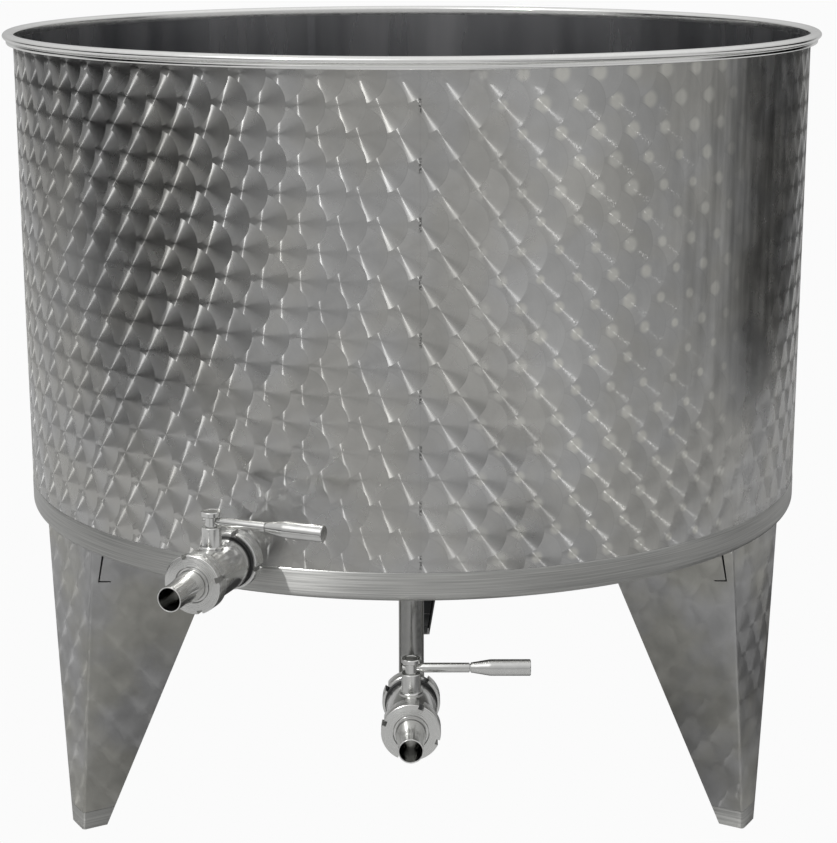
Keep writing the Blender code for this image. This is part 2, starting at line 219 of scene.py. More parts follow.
bpy.context.scene.camera = camera
print("camera ready")


# A pale sky-like room: brighter overhead, a hazy key at the left, dark walls low at the far left and right.
studio = {"keyAzimuth": -44.0, "keyElevation": 49.0, "keyAngle": 2.0, "keyStrength": 2.75,
          # the haze round the key: degrees from it where it starts and where it is full, and its strength
          "haze": (30.0, 4.0, 0.9), "low": 0.55, "overhead": 1.02, "belowFloor": 0.68,
          # heights on a ball of radius 1: where it is as bright as overhead, and from where to where it turns
          # from the light below the floor to the room's
          "full": 0.9, "horizon": (-0.12, 0.02),
          # the floor: as the eye sees it, half its side, and its painted shadow from the tank's axis out to
          # underReach
          "floorSeen": "#FBFBFB", "floorHalf": 2.5, "shadowUnderTank": 0.35, "underReach": (0.25, 0.60),
          # how pale the floor is, from left to right in metres, as the steel reflects it, with painted shade in the
          # darker bands left and right
          "floorGreys": ((-2.4, 0.44), (-1.35, 0.44), (-1.05, 0.32), (-0.80, 0.32), (-0.50, 0.40), (0.45, 0.40),
                         (0.80, 0.10), (1.05, 0.10), (1.35, 0.40), (2.4, 0.40)),
          # azimuth in degrees, cosines of the half widths where it ends and where it is full, top, foot
          "darkWalls": ((-72.0, 0.79, 0.93, -0.01, -0.36), (-104.0, 0.74, 0.90, 0.14, -0.14),
                        (117.0, 0.82, 0.93, 0.09, -0.30)),
          "softTop": 0.07, "softFoot": 0.05}


# A way into the room: azimuth in degrees to the right of the front, elevation in degrees up.
def direction(azimuth, elevation):
    a, e = math.radians(azimuth), math.radians(elevation)
    return Vector((math.sin(a) * math.cos(e), -math.cos(a) * math.cos(e), math.sin(e)))


bm = bmesh.new()
bmesh.ops.create_grid(bm, x_segments=1, y_segments=1, size=studio["floorHalf"])
paleFloor, tree, shader = newMaterial("palePaintedFloor")
place = addNode(tree, "TexCoord", {}).outputs["Object"]
across = addNode(tree, "SeparateXYZ", {0: place}).outputs[0]
half = studio["floorHalf"]
across = addNode(tree, "MapRange", {0: across, 1: -half, 2: half, 3: 0.0, 4: 1.0})
lit = addNode(tree, "ValToRGB", {0: across})
for x, grey in studio["floorGreys"]:
    stop = lit.color_ramp.elements.new(0.5 + 0.5 * x / half)
    stop.color = (grey, grey, grey, 1.0)
lit.color_ramp.elements.remove(lit.color_ramp.elements[0])
lit.color_ramp.elements.remove(lit.color_ramp.elements[-1])
# Painted shadow: the floor darkens towards the tank's axis, as the steel reflects it.
fromAxis = addNode(tree, "VectorMath", {0: place, 1: (0.0, tankAxisY, 0.0)}, operation="SUBTRACT")
fromAxis = addNode(tree, "VectorMath", {0: fromAxis}, operation="LENGTH").outputs["Value"]
dark, pale = studio["underReach"]
under = addNode(tree, "MapRange", {0: fromAxis, 1: dark, 2: pale, 3: studio["shadowUnderTank"], 4: 1.0},
                interpolation_type="SMOOTHSTEP")
lit = addNode(tree, "Mix", {0: 1.0, 6: lit, 7: under}, data_type="RGBA", blend_type="MULTIPLY")
setInputs(tree, shader, {"Base Color": lit.outputs[2], "Roughness": 0.9, "Specular IOR Level": 0.0})
white = addNode(tree, "Emission", {"Color": hexColour(studio["floorSeen"]), "Strength": 1.0})
ray = addNode(tree, "LightPath", {}).outputs["Is Camera Ray"]
floorLook = addNode(tree, "MixShader", {0: ray, 1: shader, 2: white})
setInputs(tree, tree.nodes["Material Output"], {"Surface": floorLook})
floor = looseObject("floor", bm, [paleFloor])

keyWay = direction(studio["keyAzimuth"], studio["keyElevation"])
sun = bpy.data.lights.new("key", "SUN")
sun.energy = studio["keyStrength"]
sun.angle = math.radians(studio["keyAngle"])
key = bpy.data.objects.new("key", sun)
bpy.context.collection.objects.link(key)
key.rotation_euler = keyWay.to_track_quat("Z", "Y").to_euler()

world = bpy.data.worlds.new("studio")
bpy.context.scene.world = world
world.use_nodes = True
tree = world.node_tree
tree.nodes.clear()
way = addNode(tree, "TexCoord", {}).outputs["Generated"]
height = addNode(tree, "SeparateXYZ", {0: way}).outputs[2]
above = addNode(tree, "MapRange", {0: height, 1: 0.0, 2: studio["full"], 3: studio["low"], 4: studio["overhead"]})
dark, pale = studio["horizon"]
below = addNode(tree, "MapRange", {0: height, 1: dark, 2: pale, 3: studio["belowFloor"] - studio["low"], 4: 0.0})
glow = addNode(tree, "Math", {0: above, 1: below}, operation="ADD")
level = addNode(tree, "VectorMath", {0: way, 1: (1.0, 1.0, 0.0)}, operation="MULTIPLY")
level = addNode(tree, "VectorMath", {0: level}, operation="NORMALIZE")
for azimuth, end, full, wallTop, wallFoot in studio["darkWalls"]:
    top = addNode(tree, "MapRange", {0: height, 1: wallTop, 2: wallTop - studio["softTop"], 3: 0.0, 4: 1.0})
    foot = addNode(tree, "MapRange", {0: height, 1: wallFoot, 2: wallFoot + studio["softFoot"], 3: 0.0, 4: 1.0})
    upright = addNode(tree, "Math", {0: top, 1: foot}, operation="MULTIPLY")
    facing = addNode(tree, "VectorMath", {0: level, 1: direction(azimuth, 0.0)}, operation="DOT_PRODUCT")
    wall = addNode(tree, "MapRange", {0: facing.outputs["Value"], 1: end, 2: full, 3: 0.0, 4: 1.0})
    wall = addNode(tree, "Math", {0: wall, 1: upright}, operation="MULTIPLY")
    wall = addNode(tree, "Math", {0: 1.0, 1: wall}, operation="SUBTRACT")
    glow = addNode(tree, "Math", {0: glow, 1: wall}, operation="MULTIPLY")
wide, narrow, strength = studio["haze"]
facing = addNode(tree, "VectorMath", {0: way, 1: keyWay}, operation="DOT_PRODUCT")
haze = addNode(tree, "MapRange", {0: facing.outputs["Value"], 1: math.cos(math.radians(wide)),
                                  2: math.cos(math.radians(narrow)), 3: 0.0, 4: strength},
               interpolation_type="SMOOTHSTEP")
glow = addNode(tree, "Math", {0: glow, 1: haze}, operation="ADD")
room = addNode(tree, "Background", {"Strength": glow})
backdrop = addNode(tree, "Background", {"Color": hexColour(studio["floorSeen"]), "Strength": 1.0})
ray = addNode(tree, "LightPath", {}).outputs["Is Camera Ray"]
roomLook = addNode(tree, "MixShader", {0: ray, 1: room, 2: backdrop})
addNode(tree, "OutputWorld", {"Surface": roomLook})
bpy.context.scene.view_settings.view_transform = "Standard"
print("floor and light ready")


# Stainless sheet, circle-polished with a rotating pad: each 60 mm disc carries scratches round its own
# centre, so a lamp draws a spoke in it. The pad worked column by column, and left discs lie over right ones.
# Sizes and places are in metres, along the sheet from the front and up from the floor.
marbling = {"discRadius": 0.030, "columnSpacing": math.pi / 144.0, "rowSpacing": 0.0314,
            "firstColumn": 0.0104, "firstRow": 0.8695, "padCore": 0.0085, "coreSoft": 0.0050,
            # the pad's core dot is drawn in its own paler colour, as painted sheen
            "steelCool": "#BDBDBC", "steelWarm": "#BDBCB8", "coreAndSheen": "#DAD9D3", "roughness": 0.265,
            "anisotropy": 1.0,
            # how far soft patches, a disc's own shade, a disc's edge, streaks and the pad's grit change the grey
            "cloud": 0.06, "discShade": 0.05, "edge": 0.90, "streak": 0.50, "ring": 0.012,
            # the widths of an edge, of the seam's line and its marks, and their height: from full to none
            "edgeWidth": (0.0002, 0.0010), "seamWidth": (0.0004, 0.0010), "markWidth": (0.0008, 0.0020),
            "markHeight": (0.0065, 0.0090),
            # scratches, grit, disc shades, tints and the rest, as how many there are to a metre
            "scratches": (3500.0, 250.0, 1.0), "streaks": (55.0, 5.0, 1.0), "grit": 700.0, "discs": 57.0,
            "patches": 24.0, "tints": 9.0, "cores": 7.0, "blots": 420.0, "waves": 30.0,
            # where the wear, the darker streaks and the painted sheen lie: along the sheet (0) or up it (1), where it
            # starts and ends, and its strength before and after
            "wearAndSheen": {"wornAndSheen": [(0, 0.0, 0.16, 0.0, 1.0), (0, 0.36, 0.46, 1.0, 0.0)],
                     "dulled": [(0, 0.10, 0.28, 0.0, 0.19), (0, 0.36, 0.46, 1.0, 0.0)],
                     "rubbedAndSheen": [(0, 0.07, 0.27, 0.0, 0.95), (0, 0.46, 0.60, 1.0, 0.0), (1, 0.46, 0.68, 0.5, 1.0)],
                     "rightStreaks": [(0, 0.24, 0.46, 0.06, 1.0), (1, 0.52, 0.74, 0.25, 1.0), (0, 0.60, 0.95, 1.0, 0.0)]},
            # painted sheen: how much paler the grey gets on the worn and rubbed parts
            "paintedSheen": {"wornAndSheen": 1.16, "rubbedAndSheen": 1.09},
            # the weld up the front, with a dark mark at each row of discs
            "seam": 0.0097, "seamLine": 0.95, "seamMark": 0.32,
            # the sheet pulled by welding in the outlet: place, reach and depth
            "pull": ((-0.135, 0.516), (0.075, 0.036), 0.0030)}
# The legs' sheet is duller and cloudier. It lies on the marbling away from the wear and the painted sheen.
legMarbling = dict(marbling, steelCool="#B5B5B5", steelWarm="#B4B3AD", roughness=0.34, anisotropy=0.8,
                   cloud=0.11, edge=0.97, discShade=0.02, seam=None)


# The level way along a wall and the way up it. The axis leans a touch, so it never lies along a normal.
def wallWays(tree):
    normal = addNode(tree, "NewGeometry", {}).outputs["Normal"]
    along = addNode(tree, "VectorMath", {0: (0.002, 0.0, 1.0), 1: normal}, operation="CROSS_PRODUCT")
    along = addNode(tree, "VectorMath", {0: along}, operation="NORMALIZE")
    return along, addNode(tree, "VectorMath", {0: normal, 1: along}, operation="CROSS_PRODUCT")


def marbledSteel(name, m):
    material, tree, shader = newMaterial(name)
    column, row, radius = m["columnSpacing"], m["rowSpacing"], m["discRadius"]
    plan = addNode(tree, "UVMap", {}, uv_map="sheetPlan")
    split = addNode(tree, "SeparateXYZ", {0: plan})
    x = addNode(tree, "Math", {0: split.outputs[0], 1: m["firstColumn"]}, operation="SUBTRACT")
    y = addNode(tree, "Math", {0: split.outputs[1], 1: m["firstRow"]}, operation="SUBTRACT")
    # Each kind of wear and painted sheen is the product of its ranges.
    wearAndSheen = {}
    for kind, ranges in m["wearAndSheen"].items():
        for way, start, end, before, after in ranges:
            strength = addNode(tree, "MapRange", {0: split.outputs[way], 1: start, 2: end, 3: before, 4: after},
                               interpolation_type="SMOOTHSTEP")
            wearAndSheen[kind] = addNode(tree, "Math", {0: wearAndSheen.get(kind, 1.0), 1: strength}, operation="MULTIPLY")

    # The leftmost column whose discs may reach this point, then the next two.
    number = addNode(tree, "Math", {0: x, 1: radius}, operation="SUBTRACT")
    number = addNode(tree, "Math", {0: number, 1: column}, operation="DIVIDE")
    number = addNode(tree, "Math", {0: number}, operation="CEIL")
    x0 = addNode(tree, "Math", {0: number, 1: -column, 2: x}, operation="MULTIPLY_ADD")
    y0 = addNode(tree, "Math", {0: number, 1: -row, 2: y}, operation="MULTIPLY_ADD")
    y0 = addNode(tree, "Math", {0: y0, 1: row, 2: -row}, operation="WRAP")
    x1 = addNode(tree, "Math", {0: x0, 1: column}, operation="SUBTRACT")
    y1 = addNode(tree, "Math", {0: y0, 1: row}, operation="SUBTRACT")
    y1 = addNode(tree, "Math", {0: y1, 1: row, 2: -row}, operation="WRAP")
    first = addNode(tree, "CombineXYZ", {0: x0, 1: y0})
    second = addNode(tree, "CombineXYZ", {0: x1, 1: y1})
    third = addNode(tree, "VectorMath", {0: first, 1: (2.0 * column, 0.0, 0.0)}, operation="SUBTRACT")
    reach = addNode(tree, "VectorMath", {0: second}, operation="LENGTH").outputs["Value"]
    inSecond = addNode(tree, "Math", {0: reach, 1: radius}, operation="LESS_THAN")
    reach = addNode(tree, "VectorMath", {0: first}, operation="LENGTH").outputs["Value"]
    inFirst = addNode(tree, "Math", {0: reach, 1: radius}, operation="LESS_THAN")
    disc = addNode(tree, "Mix", {0: inSecond, 4: third, 5: second}, data_type="VECTOR").outputs[1]
    disc = addNode(tree, "Mix", {0: inFirst, 4: disc, 5: first}, data_type="VECTOR").outputs[1]
    spoke = addNode(tree, "VectorMath", {0: disc}, operation="LENGTH").outputs["Value"]

    # The spoke's direction in space: the scratches run square to it.
    along, upward = wallWays(tree)
    parts = addNode(tree, "SeparateXYZ", {0: disc})
    acrossPart = addNode(tree, "VectorMath", {0: along, "Scale": parts.outputs[0]}, operation="SCALE")
    upwardPart = addNode(tree, "VectorMath", {0: upward, "Scale": parts.outputs[1]}, operation="SCALE")
    spokeWay = addNode(tree, "VectorMath", {0: acrossPart, 1: upwardPart}, operation="ADD")
    spokeWay = addNode(tree, "VectorMath", {0: spokeWay}, operation="NORMALIZE")

    # Far to the right the sheet is rubbed: upright scratches cross the discs' own. Real ones lie 0.05 mm
    # apart, and these 0.3 mm, the least that still breaks the spokes up.
    scratches = addNode(tree, "Mapping", {0: plan, "Scale": m["scratches"]})
    scratches = addNode(tree, "TexNoise", {"Vector": scratches, "Scale": 1.0, "Detail": 1.0}, noise_dimensions="2D")
    scratches = addNode(tree, "MapRange", {0: scratches, 1: 0.33, 2: 0.67, 3: 0.02, 4: 1.0})
    scratched = addNode(tree, "Math", {0: scratches, 1: wearAndSheen["rubbedAndSheen"]}, operation="LESS_THAN")
    spokeWay = addNode(tree, "Mix", {0: scratched, 4: spokeWay, 5: along}, data_type="VECTOR").outputs[1]

    # Each disc has its own shade, and the sheet has soft warm and cool patches.
    centre = addNode(tree, "VectorMath", {0: plan, 1: disc}, operation="SUBTRACT")
    shade = addNode(tree, "TexNoise", {"Vector": centre, "Scale": m["discs"], "Detail": 0.0}, noise_dimensions="2D")
    shade = addNode(tree, "MapRange", {0: shade, 1: 0.3, 2: 0.7, 3: 0.99 - m["discShade"], 4: 0.99 + m["discShade"]})
    marks = []  # what darkens or brightens the sheet

    # Rings 1.4 mm apart stand for the pad's grit, which is too fine to show.
    ringPlace = addNode(tree, "CombineXYZ", {0: spoke, 1: shade})
    rings = addNode(tree, "TexNoise", {"Vector": ringPlace, "Scale": m["grit"], "Detail": 1.0}, noise_dimensions="2D")
    marks.append(addNode(tree, "MapRange", {0: rings, 1: 0.3, 2: 0.7, 3: 1.0 - m["ring"], 4: 1.0 + m["ring"]}))
    patches = addNode(tree, "TexNoise", {"Vector": plan, "Scale": m["patches"], "Detail": 3.0},
                      noise_dimensions="2D")
    marks.append(addNode(tree, "MapRange", {0: patches, 1: 0.3, 2: 0.7, 3: 1.0 - m["cloud"], 4: 1.0 + m["cloud"]}))
    tints = addNode(tree, "TexNoise", {"Vector": plan, "Scale": m["tints"], "Detail": 3.0}, noise_dimensions="2D")
    tints = addNode(tree, "MapRange", {0: tints, 1: 0.4, 2: 0.6, 3: 0.0, 4: 1.0})
    steel = addNode(tree, "Mix", {0: tints, 6: hexColour(m["steelCool"]), 7: hexColour(m["steelWarm"])},
                    data_type="RGBA")

    # The pad's core leaves a dot, drawn paler as painted sheen, plain to see only right of the seam.
    uneven = addNode(tree, "TexNoise", {"Vector": centre, "Scale": m["cores"], "Detail": 1.0}, noise_dimensions="2D")
    uneven = addNode(tree, "MapRange", {0: uneven, 1: 0.35, 2: 0.65, 3: 0.7, 4: 1.3})
    coreAndSheen = addNode(tree, "Math", {0: spoke, 1: uneven}, operation="MULTIPLY")
    coreAndSheen = addNode(tree, "MapRange", {0: coreAndSheen, 1: m["padCore"], 2: m["padCore"] - m["coreSoft"], 3: 0.0, 4: 1.0},
                   interpolation_type="SMOOTHSTEP")
    coreAndSheen = addNode(tree, "Math", {0: coreAndSheen, 1: wearAndSheen["wornAndSheen"]}, operation="MULTIPLY")
    # Painted sheen: the grey is made paler right of the seam, over the worn and rubbed parts.
    for kind, most in m["paintedSheen"].items():
        marks.append(addNode(tree, "MapRange", {0: wearAndSheen[kind], 1: 0.0, 2: 1.0, 3: 1.0, 4: most}))
    colour = addNode(tree, "Mix", {0: coreAndSheen, 6: steel.outputs[2], 7: hexColour(m["coreAndSheen"])}, data_type="RGBA")

    # A thin dark line where one disc ends on another, and darker streaks far round to the right, strongest high up.
    full, gone = m["edgeWidth"]
    marks.append(addNode(tree, "MapRange", {0: spoke, 1: radius - gone, 2: radius - full, 3: 1.0, 4: m["edge"]}))
    streaks = addNode(tree, "Mapping", {0: plan, "Scale": m["streaks"]})
    streaks = addNode(tree, "TexNoise", {"Vector": streaks, "Scale": 1.0, "Detail": 4.0}, noise_dimensions="2D")
    streaks = addNode(tree, "MapRange", {0: streaks, 1: 0.3, 2: 0.7, 3: m["streak"], 4: 1.0})
    marks.append(addNode(tree, "Mix", {0: wearAndSheen["rightStreaks"], 2: 1.0, 3: streaks}, data_type="FLOAT"))
    if m["seam"]:
        away = addNode(tree, "Math", {0: split.outputs[0], 1: m["seam"]}, operation="SUBTRACT")
        away = addNode(tree, "Math", {0: away}, operation="ABSOLUTE")
        full, gone = m["seamWidth"]
        marks.append(addNode(tree, "MapRange", {0: away, 1: full, 2: gone, 3: m["seamLine"], 4: 1.0}))
        beyond = addNode(tree, "Math", {0: y, 1: row, 2: -row}, operation="WRAP")
        beyond = addNode(tree, "Math", {0: beyond}, operation="ABSOLUTE")
        full, gone = m["markHeight"]
        beyond = addNode(tree, "MapRange", {0: beyond, 1: full, 2: gone, 3: 0.0, 4: 1.0})
        full, gone = m["markWidth"]
        mark = addNode(tree, "MapRange", {0: away, 1: full, 2: gone, 3: 0.0, 4: 1.0})
        mark = addNode(tree, "Math", {0: mark, 1: beyond}, operation="MAXIMUM")
        blots = addNode(tree, "TexNoise", {"Vector": plan, "Scale": m["blots"], "Detail": 1.0}, noise_dimensions="2D")
        blots = addNode(tree, "MapRange", {0: blots, 1: 0.42, 2: 0.60, 3: 0.0, 4: 0.9})
        mark = addNode(tree, "Math", {0: mark, 1: blots}, operation="MAXIMUM")
        marks.append(addNode(tree, "MapRange", {0: mark, 1: 0.0, 2: 1.0, 3: m["seamMark"], 4: 1.0}))
        (pullX, pullY), (reachX, reachY), depth = m["pull"]
        pull = addNode(tree, "Mapping", {0: plan, "Location": (pullX, pullY, 0.0), "Scale": (reachX, reachY, 1.0)},
                       vector_type="TEXTURE")
        pull = addNode(tree, "VectorMath", {0: pull}, operation="LENGTH").outputs["Value"]
        pull = addNode(tree, "MapRange", {0: pull, 1: 1.0, 2: 0.2, 3: 0.0, 4: depth}, interpolation_type="SMOOTHSTEP")
        waves = addNode(tree, "TexNoise", {"Vector": plan, "Scale": m["waves"], "Detail": 0.0}, noise_dimensions="2D")
        waves = addNode(tree, "Math", {0: waves, 1: pull}, operation="MULTIPLY")
        pulled = addNode(tree, "Bump", {"Strength": 1.0, "Distance": 1.0, "Height": waves})
        setInputs(tree, shader, {"Normal": pulled})
    for mark in marks:
        shade = addNode(tree, "Math", {0: shade, 1: mark}, operation="MULTIPLY")
    grey = addNode(tree, "CombineXYZ", {0: shade, 1: shade, 2: shade})
    colour = addNode(tree, "Mix", {0: 1.0, 6: colour.outputs[2], 7: grey}, data_type="RGBA", blend_type="MULTIPLY")
    rough = addNode(tree, "MapRange", {0: patches, 1: 0.3, 2: 0.7, 3: m["roughness"] - 0.02,
                                       4: m["roughness"] + 0.02})
    rough = addNode(tree, "Math", {0: rough, 1: wearAndSheen["dulled"]}, operation="ADD")
    setInputs(tree, shader, {"Base Color": colour.outputs[2], "Metallic": 1.0, "Roughness": rough,
                             "Anisotropic": m["anisotropy"], "Tangent": spokeWay})
    return material


# A steel's colour follows a pattern from dark to light, and its roughness from smooth to coarse.
def setSteel(tree, shader, pattern, tint, look):
    colour = addNode(tree, "Mix", {0: tint, 6: hexColour(look["dark"]), 7: hexColour(look["light"])},
                     data_type="RGBA")
    smooth, coarse = look["roughness"]
    rough = addNode(tree, "MapRange", {0: pattern, 1: 0.3, 2: 0.7, 3: smooth, 4: coarse})
    setInputs(tree, shader, {"Base Color": colour.outputs[2], "Metallic": 1.0, "Roughness": rough,
                             "Anisotropic": look.get("anisotropy", 0.0)})
    return colour


# Rolled stainless sheet, mill finish: a soft grey sheen, faintly streaked up and down.
# The streaks lie about 60 mm apart and run 550 mm up, as unevenly rolled sheet shows them.
rolling = {"streaks": (16.0, 16.0, 1.8), "roughness": (0.23, 0.30), "weldHalf": (0.0040, 0.0075), "weldPaler": 1.28,
           "dark": "#8C8D90", "light": "#B4B4B6"}


# A weld is a paler upright stripe, at its place along the sheet.
def rolledSteel(name, look, weld=None):
    material, tree, shader = newMaterial(name)
    place = addNode(tree, "TexCoord", {}).outputs["Object"]
    stretched = addNode(tree, "Mapping", {0: place, "Scale": look["streaks"]})
    streaks = addNode(tree, "TexNoise", {"Vector": stretched, "Scale": 1.0, "Detail": 4.0})
    streaky = addNode(tree, "MapRange", {0: streaks, 1: 0.25, 2: 0.75, 3: 0.0, 4: 1.0})
    colour = setSteel(tree, shader, streaks, streaky, look)
    if weld is not None:
        full, gone = look["weldHalf"]
        along = addNode(tree, "SeparateXYZ", {0: addNode(tree, "UVMap", {}, uv_map="sheetPlan")}).outputs[0]
        away = addNode(tree, "Math", {0: along, 1: weld}, operation="SUBTRACT")
        away = addNode(tree, "Math", {0: away}, operation="ABSOLUTE")
        stripe = addNode(tree, "MapRange", {0: away, 1: full, 2: gone, 3: look["weldPaler"], 4: 1.0},
                         interpolation_type="SMOOTHERSTEP")
        grey = addNode(tree, "CombineXYZ", {0: stripe, 1: stripe, 2: stripe})
        colour = addNode(tree, "Mix", {0: 1.0, 6: colour.outputs[2], 7: grey}, data_type="RGBA",
                         blend_type="MULTIPLY")
        setInputs(tree, shader, {"Base Color": colour.outputs[2]})
    return material


# Stainless brushed level with a belt: lines along the band, and highlights that stretch up and down it.
# A belt's lines lie 0.1 mm apart. Drawn 1.2 mm apart and 110 mm long, they just show.
brushing = {"lines": (9.0, 9.0, 850.0), "dark": "#A6A6A4", "light": "#CBCBC8", "roughness": (0.33, 0.41),
            "anisotropy": 0.85}


def brushedSteel():
    material, tree, shader = newMaterial("brushedStainless")
    place = addNode(tree, "TexCoord", {}).outputs["Object"]
    stretched = addNode(tree, "Mapping", {0: place, "Scale": brushing["lines"]})
    lines = addNode(tree, "TexNoise", {"Vector": stretched, "Scale": 1.0, "Detail": 3.0})
    lined = addNode(tree, "MapRange", {0: lines, 1: 0.3, 2: 0.7, 3: 0.0, 4: 1.0})
    setSteel(tree, shader, lines, lined, brushing)
    bump = addNode(tree, "Bump", {"Strength": 0.04, "Distance": 0.0003, "Height": lines})
    setInputs(tree, shader, {"Tangent": wallWays(tree)[1], "Normal": bump})
    return material


# Stainless turned on a lathe: fine rings round the part's own axis, bright with a long sheen.
# A lathe's rings lie 0.1 mm apart. They are drawn 0.7 mm apart, so that they show.
# The nuts stay matt, and the rest of the valve is bright.
turning = {"rings": 1400.0, "dark": "#CBCBC9", "light": "#E8E8E6", "roughness": (0.08, 0.17), "anisotropy": 0.7}
turningMatt = dict(turning, roughness=(0.20, 0.32))


def turnedSteel(name, place, yaw, look):
    material, tree, shader = newMaterial(name)
    spot = addNode(tree, "TexCoord", {}).outputs["Object"]
    local = addNode(tree, "Mapping", {0: spot, "Location": place, "Rotation": (0.0, 0.0, yaw)},
                    vector_type="TEXTURE")
    parts = addNode(tree, "SeparateXYZ", {0: local})
    flat = addNode(tree, "CombineXYZ", {0: parts.outputs[0], 2: parts.outputs[2]})
    radius = addNode(tree, "VectorMath", {0: flat}, operation="LENGTH").outputs["Value"]
    ringPlace = addNode(tree, "CombineXYZ", {0: radius, 1: parts.outputs[1]})
    rings = addNode(tree, "TexNoise", {"Vector": ringPlace, "Scale": look["rings"], "Detail": 2.0},
                    noise_dimensions="2D")
    setSteel(tree, shader, rings, rings, look)
    outward = addNode(tree, "Mapping", {0: flat, "Rotation": (0.0, 0.0, yaw)}, vector_type="VECTOR")
    cut = addNode(tree, "VectorMath", {0: outward, 1: (math.sin(yaw), -math.cos(yaw), 0.0)},
                  operation="CROSS_PRODUCT")
    normal = addNode(tree, "NewGeometry", {}).outputs["Normal"]
    spread = addNode(tree, "VectorMath", {0: cut, 1: normal}, operation="CROSS_PRODUCT")
    spread = addNode(tree, "VectorMath", {0: spread}, operation="NORMALIZE")
    bump = addNode(tree, "Bump", {"Strength": 0.2, "Distance": 0.0001, "Height": rings})
    setInputs(tree, shader, {"Tangent": spread, "Normal": bump})
    return material


# Stainless bar, polished: near a mirror, with a faint haze in spots of about 6 mm.
polishing = {"haze": 160.0, "dark": "#CFCFCD", "light": "#E0E0DE", "roughness": (0.07, 0.14)}
# The rim is rolled, polished sheet, drawn near white as a painted highlight, so that it gives a white line. Drawn
# tube is left as it comes: greyer and softer.
rimPolishHighlight = dict(polishing, dark="#F1F1EF", light="#FAFAF8", roughness=(0.10, 0.16))
tubePolish = dict(polishing, dark="#969694", light="#AAAAA8", roughness=(0.14, 0.24))


def polishedSteel(name, look):
    material, tree, shader = newMaterial(name)
    place = addNode(tree, "TexCoord", {}).outputs["Object"]
    haze = addNode(tree, "TexNoise", {"Vector": place, "Scale": look["haze"], "Detail": 3.0})
    setSteel(tree, shader, haze, haze, look)
    return material


# Moulded black rubber: matt, with a fine grain, drawn 1.1 mm wide where the real one has 0.1 mm.
moulding = {"grain": 900.0, "dark": "#141414", "light": "#242424", "roughness": 0.55}


def blackRubber():
    material, tree, shader = newMaterial("blackRubber")
    place = addNode(tree, "TexCoord", {}).outputs["Object"]
    grain = addNode(tree, "TexNoise", {"Vector": place, "Scale": moulding["grain"], "Detail": 2.0})
    colour = addNode(tree, "Mix", {0: grain, 6: hexColour(moulding["dark"]), 7: hexColour(moulding["light"])},
                     data_type="RGBA")
    bump = addNode(tree, "Bump", {"Strength": 0.2, "Distance": 0.0001, "Height": grain})
    setInputs(tree, shader, {"Base Color": colour.outputs[2], "Roughness": moulding["roughness"], "Normal": bump})
    return material


# Where the valves stand: the stem's and the pipe's distance from the tank's axis, and the turn of the nuts.
sideValve = {"azimuth": -21.5, "stem": 0.589, "height": 0.4356, "slots": {"front": -16.0, "rear": 10.0}}
drainValve = {"azimuth": 0.0, "x": -0.0012, "stem": 0.5235, "height": 0.2583, "slots": {"front": 21.0, "rear": 32.0},
              "pipe": 0.415, "elbow": 0.038, "pipeSteps": 64, "elbowSteps": 24}
sideAt = Vector((0.0, tankAxisY, sideValve["height"])) + direction(sideValve["azimuth"], 0.0) * sideValve["stem"]
drainAt = Vector((drainValve["x"], tankAxisY - drainValve["stem"], drainValve["height"]))

marbled = marbledSteel("marbledStainless", marbling)
legMarbled = marbledSteel("marbledStainlessLegs", legMarbling)
rolled = rolledSteel("rolledStainless", rolling, weld=-1.416)
# Painted shade: a dark sheet for the legs' insides and the drain nuts' slots, where shade falls under the tank.
# Milled slots with a plain grey sheen.
paintedShadeSteel = rolledSteel("paintedShadeStainless", dict(rolling, dark="#68696A", light="#7C7D7E"))
milled = rolledSteel("milledStainless", dict(rolling, dark="#A6A6A6", light="#BEBEBD"))
slotSteel = {"side": milled, "drain": paintedShadeSteel}  # the nuts' slots are plain milled grey on the wall, and painted shade under the tank
brushed = brushedSteel()
turned = {}
for side, at, facts in (("side", sideAt, sideValve), ("drain", drainAt, drainValve)):
    yaw = math.radians(facts["azimuth"])
    turned[side] = (turnedSteel("turnedStainless_" + side, at, yaw, turning),
                    turnedSteel("turnedStainlessMatt_" + side, at, yaw, turningMatt))
polished = polishedSteel("polishedStainless", polishing)
rimHighlightSteel = polishedSteel("polishedStainlessRimHighlight", rimPolishHighlight)
tube = polishedSteel("drawnTubeStainless", tubePolish)
rubber = blackRubber()
print("materials ready")


tank = {"radius": 0.500, "sheet": 0.0015, "bandRadius": 0.5005, "bandTop": 0.418, "bottom": 0.3838,
        "corner": 0.008, "bandEase": (0.0008, 0.006), "outletHole": 0.0115, "gap": 0.0003, "steps": 288}
rim = {"height": 0.977, "bead": 0.0072, "seat": 45.0,  # how far down the bead's side the wall meets it
       # the roll's middle, its half width and half height, and the angle where it meets the lip
       "roll": (0.5059, 0.9795, 0.0072, 0.0047, -62.0),
       # the lip under the roll, from the roll's end back to the wall: radius and height
       "lip": [(0.5081, 0.97505), (0.5086, 0.9744), (0.5088, 0.9735), (0.5088, 0.9712), (0.5083, 0.9702),
               (0.5072, 0.9698), (0.5012, 0.9698), (0.5004, 0.9704), (0.5003, 0.97195), (0.49875, 0.97195)]}


# Moves a shape from the tank's own axis to where the tank stands.
def toTank(bm):
    bmesh.ops.translate(bm, vec=(0.0, tankAxisY, 0.0), verts=bm.verts)


